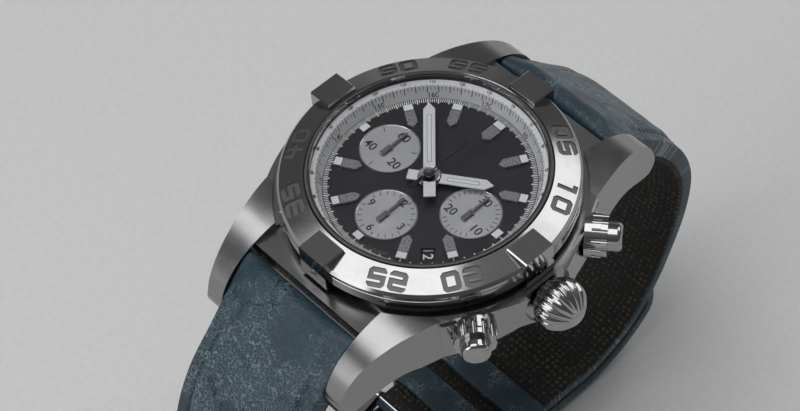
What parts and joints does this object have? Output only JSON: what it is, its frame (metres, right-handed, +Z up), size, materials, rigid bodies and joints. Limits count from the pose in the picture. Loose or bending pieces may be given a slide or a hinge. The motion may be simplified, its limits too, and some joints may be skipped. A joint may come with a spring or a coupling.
{
  "type": "wristwatch",
  "caption": "Dial-up chronograph wristwatch with turning bezel, crown, two pushers and a buckled leather strap loop.",
  "frame": {"origin": "on the resting plane, on the underside of the fixed keeper, directly under the dial centre", "axes": "+Z up through the dial, +Y towards 12 o'clock, +X towards 3 o'clock and the crown"},
  "size_m": [0.0516, 0.0878, 0.0692],
  "materials": {
    "polished_steel": "mirror polish",
    "satin_steel": "fine brushed",
    "dial_black": "black lacquer, satin",
    "silver_dial": "fine matt silver",
    "marker_steel": "polished, faceted",
    "hand_steel": "polished with pale lume",
    "date_white": "matt black, printed",
    "sapphire": "clear",
    "leather_blue": "creased smooth",
    "lining_brown": "pebbled",
    "brass_gilt": "fine grained",
    "plate_rhodium": "circular grained",
    "seal_rubber": "matt",
    "spring_steel": "drawn wire"
  },
  "bodies": {
    "case": {"mid_case": "satin_steel", "case_back": "satin_steel", "crown_tube": "satin_steel", "movement_ring": "satin_steel", "pusher_tubes": "polished_steel", "spring_bars": "polished_steel", "buckle_bar": "polished_steel", "bezel_click_spring": "spring_steel", "start_pusher_spring": "spring_steel", "reset_pusher_spring": "spring_steel", "movement_screws": "spring_steel", "case_back_gasket": "seal_rubber", "bezel_gasket": "seal_rubber", "crystal_gasket": "seal_rubber", "pusher_gaskets": "seal_rubber", "crystal": "sapphire", "flange_ring": "silver_dial", "subdials": "silver_dial", "dial": "dial_black", "hour_markers": "marker_steel", "mainspring_barrel": "brass_gilt", "main_plate": "plate_rhodium", "train_bridge": "plate_rhodium", "balance_cock": "plate_rhodium", "rotor_bearing": "plate_rhodium", "strap_leather_12": "leather_blue", "strap_leather_6": "leather_blue", "fixed_keeper": "leather_blue", "strap_lining_12": "lining_brown", "strap_lining_6": "lining_brown"},
    "bezel": {"bezel": "satin_steel", "bezel_rider_tabs": "polished_steel", "bezel_screws": "polished_steel"},
    "minute_hand": {"cannon_pinion": "spring_steel", "minute_hand": "hand_steel"},
    "hour_hand": {"hour_wheel": "brass_gilt", "hour_hand": "hand_steel"},
    "chrono_seconds": {"chrono_seconds_arbor": "spring_steel", "chrono_seconds_hand": "hand_steel"},
    "small_seconds": {"small_seconds_arbor": "spring_steel", "small_seconds_hand": "hand_steel"},
    "chrono_minutes": {"chrono_minutes_arbor": "spring_steel", "chrono_minutes_hand": "hand_steel"},
    "chrono_hours": {"chrono_hours_arbor": "spring_steel", "chrono_hours_hand": "hand_steel"},
    "date_disc": {"date_disc": "date_white"},
    "balance_wheel": {"balance_wheel": "brass_gilt"},
    "rotor": {"rotor": "plate_rhodium"},
    "winding_pinion": {"winding_pinion": "spring_steel"},
    "crown": {"crown": "polished_steel", "winding_stem": "spring_steel", "crown_gasket": "seal_rubber"},
    "start_pusher": {"start_pusher": "polished_steel"},
    "reset_pusher": {"reset_pusher": "polished_steel"},
    "buckle_frame": {"buckle_frame": "polished_steel"},
    "buckle_tang": {"buckle_tang": "polished_steel"},
    "free_keeper": {"free_keeper": "leather_blue"}
  },
  "joints": [
    {"name": "bezel_turn", "type": "hinge", "parent": "case", "child": "bezel", "pos_m": [0, 0, 0.0648], "axis": [0, 0, -1], "continuous": true},
    {"name": "minute_turn", "type": "hinge", "parent": "case", "child": "minute_hand", "pos_m": [0, 0, 0.0648], "axis": [0, 0, -1], "continuous": true},
    {"name": "hour_turn", "type": "hinge", "parent": "case", "child": "hour_hand", "pos_m": [0, 0, 0.0648], "axis": [0, 0, -1], "continuous": true},
    {"name": "chrono_seconds_turn", "type": "hinge", "parent": "case", "child": "chrono_seconds", "pos_m": [0, 0, 0.0648], "axis": [0, 0, -1], "continuous": true},
    {"name": "chrono_minutes_turn", "type": "hinge", "parent": "case", "child": "chrono_minutes", "pos_m": [0.00835, 0, 0.0648], "axis": [0, 0, -1], "continuous": true},
    {"name": "chrono_hours_turn", "type": "hinge", "parent": "case", "child": "chrono_hours", "pos_m": [0, -0.00835, 0.0648], "axis": [0, 0, -1], "continuous": true},
    {"name": "small_seconds_turn", "type": "hinge", "parent": "case", "child": "small_seconds", "pos_m": [-0.00835, 0, 0.0648], "axis": [0, 0, -1], "continuous": true},
    {"name": "date_turn", "type": "hinge", "parent": "case", "child": "date_disc", "pos_m": [0, 0, 0.0648], "axis": [0, 0, -1], "continuous": true},
    {"name": "rotor_turn", "type": "hinge", "parent": "case", "child": "rotor", "pos_m": [0, 0, 0.0648], "axis": [0, 0, 1], "continuous": true},
    {"name": "balance_swing", "type": "hinge", "parent": "case", "child": "balance_wheel", "pos_m": [-0.00747, -0.00649, 0.0648], "axis": [0, 0, 1], "range_deg": [-270, 270]},
    {"name": "crown_turn", "type": "hinge", "parent": "case", "child": "winding_pinion", "pos_m": [0.0092, 0, 0.0604], "axis": [1, 0, 0], "continuous": true},
    {"name": "crown_pull", "type": "slide", "parent": "winding_pinion", "child": "crown", "axis": [1, 0, 0], "range_m": [0, 0.0014]},
    {"name": "start_push", "type": "slide", "parent": "case", "child": "start_pusher", "axis": [-0.7749, -0.632, 0], "range_m": [0, 0.001], "stiffness_N_per_m": 400, "springref_m": -0.001, "deforming": ["start_pusher_spring"]},
    {"name": "reset_push", "type": "slide", "parent": "case", "child": "reset_pusher", "axis": [-0.7749, 0.632, 0], "range_m": [0, 0.001], "stiffness_N_per_m": 400, "springref_m": -0.001, "deforming": ["reset_pusher_spring"]},
    {"name": "buckle_swing", "type": "hinge", "parent": "case", "child": "buckle_frame", "pos_m": [0, -0.006, 0.00505], "axis": [1, 0, 0], "range_deg": [0, 3]},
    {"name": "tang_swing", "type": "hinge", "parent": "buckle_frame", "child": "buckle_tang", "pos_m": [0, -0.006, 0.00505], "axis": [1, 0, 0], "range_deg": [0, 3]},
    {"name": "free_keeper_slide", "type": "slide", "parent": "case", "child": "free_keeper", "axis": [0, 1, 0], "range_m": [-0.0024, 0.0085]}
  ],
  "couplings": [
    {"joint": "hour_turn", "follows": "minute_turn", "ratio": 0.083333},
    {"joint": "chrono_minutes_turn", "follows": "chrono_seconds_turn", "ratio": 0.033333},
    {"joint": "chrono_hours_turn", "follows": "chrono_seconds_turn", "ratio": 0.0013889}
  ]
}
